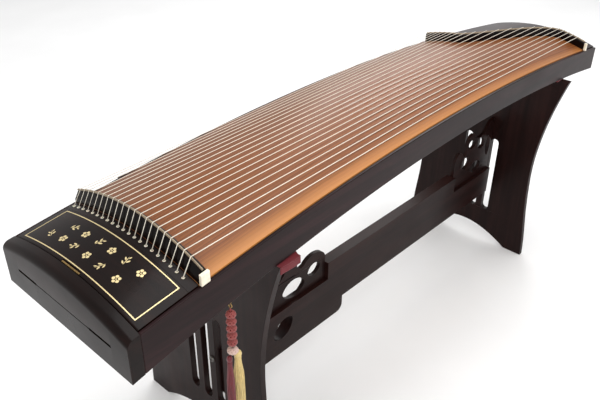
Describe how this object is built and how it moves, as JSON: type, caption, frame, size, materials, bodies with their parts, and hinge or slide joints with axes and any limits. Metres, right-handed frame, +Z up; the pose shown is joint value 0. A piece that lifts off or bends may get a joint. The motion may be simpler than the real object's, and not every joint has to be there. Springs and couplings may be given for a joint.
{
  "type": "guzheng with stand",
  "caption": "Long arched zither with taut strings over a raised head nut and a curved tail nut, tuning pins under a hinged lid, a hanging tassel and a panel-leg stand.",
  "frame": {"origin": "on the floor, midway between the stand's feet along the length and across", "axes": "+X along the strings from head to tail, +Y to the player's (treble) side, +Z up"},
  "size_m": [1.63, 0.4889, 0.7305],
  "materials": {
    "soundboard_wood": "satin, straight grain",
    "side_wood": "polished dark rosewood",
    "head_wood": "polished black-brown wood",
    "inner_wood": "raw",
    "bone": "polished bone",
    "pin_steel": "satin",
    "string_wire": "nylon-wound steel",
    "gold_inlay": "flush inlay",
    "dark_brass": "aged",
    "stand_wood": "satin, dark red-brown stain",
    "bolt_steel": "dark zinc",
    "red_felt": "pressed felt",
    "red_cord": "twisted cord",
    "pink_knotwork": "knotted cord",
    "red_silk": "silk threads",
    "gold_silk": "silk threads"
  },
  "bodies": {
    "stand": {"leg_panel_head": "stand_wood", "leg_panel_tail": "stand_wood", "stretcher": "stand_wood", "fret_bracket_head": "stand_wood", "fret_bracket_tail": "stand_wood", "felt_pad_head": "red_felt", "felt_pad_tail": "red_felt", "stretcher_bolt_head": "bolt_steel", "stretcher_bolt_tail": "bolt_steel"},
    "instrument": {"soundboard": "soundboard_wood", "side_board_bass": "side_wood", "side_board_treble": "side_wood", "tail_board": "side_wood", "tail_end_board": "side_wood", "head_end_block": "head_wood", "string_hole_board": "head_wood", "front_nut": "head_wood", "rear_nut": "head_wood", "back_board": "inner_wood", "sound_brace_head": "inner_wood", "sound_brace_middle": "inner_wood", "sound_brace_tail": "inner_wood", "string_box_wall": "inner_wood", "pin_block": "inner_wood", "front_nut_saddle": "bone", "rear_nut_saddle": "bone", "front_nut_cap": "bone", "rear_nut_cap": "bone", "string_set": "string_wire", "lid_hinge_fixed_leaf": "dark_brass", "screw_eye": "dark_brass"},
    "lid": {"string_box_lid": "head_wood", "lid_border_inlay": "gold_inlay", "lid_hinge_moving_leaf": "dark_brass"},
    "ornament": {"ornament_cord": "red_cord", "ornament_beads": "pink_knotwork", "ornament_knot": "pink_knotwork", "tassel_red": "red_silk", "tassel_gold": "gold_silk"},
    "pin_01": {"tuning_pin_01": "pin_steel"},
    "pin_02": {"tuning_pin_02": "pin_steel"},
    "pin_03": {"tuning_pin_03": "pin_steel"},
    "pin_04": {"tuning_pin_04": "pin_steel"},
    "pin_05": {"tuning_pin_05": "pin_steel"},
    "pin_06": {"tuning_pin_06": "pin_steel"},
    "pin_07": {"tuning_pin_07": "pin_steel"},
    "pin_08": {"tuning_pin_08": "pin_steel"},
    "pin_09": {"tuning_pin_09": "pin_steel"},
    "pin_10": {"tuning_pin_10": "pin_steel"},
    "pin_11": {"tuning_pin_11": "pin_steel"},
    "pin_12": {"tuning_pin_12": "pin_steel"},
    "pin_13": {"tuning_pin_13": "pin_steel"},
    "pin_14": {"tuning_pin_14": "pin_steel"},
    "pin_15": {"tuning_pin_15": "pin_steel"},
    "pin_16": {"tuning_pin_16": "pin_steel"},
    "pin_17": {"tuning_pin_17": "pin_steel"},
    "pin_18": {"tuning_pin_18": "pin_steel"},
    "pin_19": {"tuning_pin_19": "pin_steel"},
    "pin_20": {"tuning_pin_20": "pin_steel"},
    "pin_21": {"tuning_pin_21": "pin_steel"}
  },
  "joints": [
    {"name": "lift_off", "type": "slide", "parent": "stand", "child": "instrument", "axis": [0, 0, 1], "range_m": [0, 0.15]},
    {"name": "lid_hinge", "type": "hinge", "parent": "instrument", "child": "lid", "pos_m": [-0.7866, -0.0635, 0.65375], "axis": [0, -1, 0], "range_deg": [0, 95]},
    {"name": "ornament_swing", "type": "hinge", "parent": "instrument", "child": "ornament", "pos_m": [-0.615, -0.23867, 0.56933], "axis": [0, -1, 0], "range_deg": [-35, 14]},
    {"name": "tuning_pin_01_turn", "type": "hinge", "parent": "instrument", "child": "pin_01", "pos_m": [-0.726, 0.10096, 0.6], "axis": [0, 0, 1], "continuous": true},
    {"name": "tuning_pin_02_turn", "type": "hinge", "parent": "instrument", "child": "pin_02", "pos_m": [-0.748, 0.08575, 0.6], "axis": [0, 0, 1], "continuous": true},
    {"name": "tuning_pin_03_turn", "type": "hinge", "parent": "instrument", "child": "pin_03", "pos_m": [-0.77, 0.0705, 0.6], "axis": [0, 0, 1], "continuous": true},
    {"name": "tuning_pin_04_turn", "type": "hinge", "parent": "instrument", "child": "pin_04", "pos_m": [-0.726, 0.05472, 0.6], "axis": [0, 0, 1], "continuous": true},
    {"name": "tuning_pin_05_turn", "type": "hinge", "parent": "instrument", "child": "pin_05", "pos_m": [-0.748, 0.03945, 0.6], "axis": [0, 0, 1], "continuous": true},
    {"name": "tuning_pin_06_turn", "type": "hinge", "parent": "instrument", "child": "pin_06", "pos_m": [-0.77, 0.02413, 0.6], "axis": [0, 0, 1], "continuous": true},
    {"name": "tuning_pin_07_turn", "type": "hinge", "parent": "instrument", "child": "pin_07", "pos_m": [-0.726, 0.00848, 0.6], "axis": [0, 0, 1], "continuous": true},
    {"name": "tuning_pin_08_turn", "type": "hinge", "parent": "instrument", "child": "pin_08", "pos_m": [-0.748, -0.00686, 0.6], "axis": [0, 0, 1], "continuous": true},
    {"name": "tuning_pin_09_turn", "type": "hinge", "parent": "instrument", "child": "pin_09", "pos_m": [-0.77, -0.02224, 0.6], "axis": [0, 0, 1], "continuous": true},
    {"name": "tuning_pin_10_turn", "type": "hinge", "parent": "instrument", "child": "pin_10", "pos_m": [-0.726, -0.03776, 0.6], "axis": [0, 0, 1], "continuous": true},
    {"name": "tuning_pin_11_turn", "type": "hinge", "parent": "instrument", "child": "pin_11", "pos_m": [-0.748, -0.05316, 0.6], "axis": [0, 0, 1], "continuous": true},
    {"name": "tuning_pin_12_turn", "type": "hinge", "parent": "instrument", "child": "pin_12", "pos_m": [-0.77, -0.06861, 0.6], "axis": [0, 0, 1], "continuous": true},
    {"name": "tuning_pin_13_turn", "type": "hinge", "parent": "instrument", "child": "pin_13", "pos_m": [-0.726, -0.084, 0.6], "axis": [0, 0, 1], "continuous": true},
    {"name": "tuning_pin_14_turn", "type": "hinge", "parent": "instrument", "child": "pin_14", "pos_m": [-0.748, -0.09947, 0.6], "axis": [0, 0, 1], "continuous": true},
    {"name": "tuning_pin_15_turn", "type": "hinge", "parent": "instrument", "child": "pin_15", "pos_m": [-0.77, -0.11498, 0.6], "axis": [0, 0, 1], "continuous": true},
    {"name": "tuning_pin_16_turn", "type": "hinge", "parent": "instrument", "child": "pin_16", "pos_m": [-0.726, -0.13024, 0.6], "axis": [0, 0, 1], "continuous": true},
    {"name": "tuning_pin_17_turn", "type": "hinge", "parent": "instrument", "child": "pin_17", "pos_m": [-0.748, -0.14577, 0.6], "axis": [0, 0, 1], "continuous": true},
    {"name": "tuning_pin_18_turn", "type": "hinge", "parent": "instrument", "child": "pin_18", "pos_m": [-0.77, -0.16135, 0.6], "axis": [0, 0, 1], "continuous": true},
    {"name": "tuning_pin_19_turn", "type": "hinge", "parent": "instrument", "child": "pin_19", "pos_m": [-0.726, -0.17648, 0.6], "axis": [0, 0, 1], "continuous": true},
    {"name": "tuning_pin_20_turn", "type": "hinge", "parent": "instrument", "child": "pin_20", "pos_m": [-0.748, -0.19208, 0.6], "axis": [0, 0, 1], "continuous": true},
    {"name": "tuning_pin_21_turn", "type": "hinge", "parent": "instrument", "child": "pin_21", "pos_m": [-0.77, -0.20772, 0.6], "axis": [0, 0, 1], "continuous": true}
  ]
}
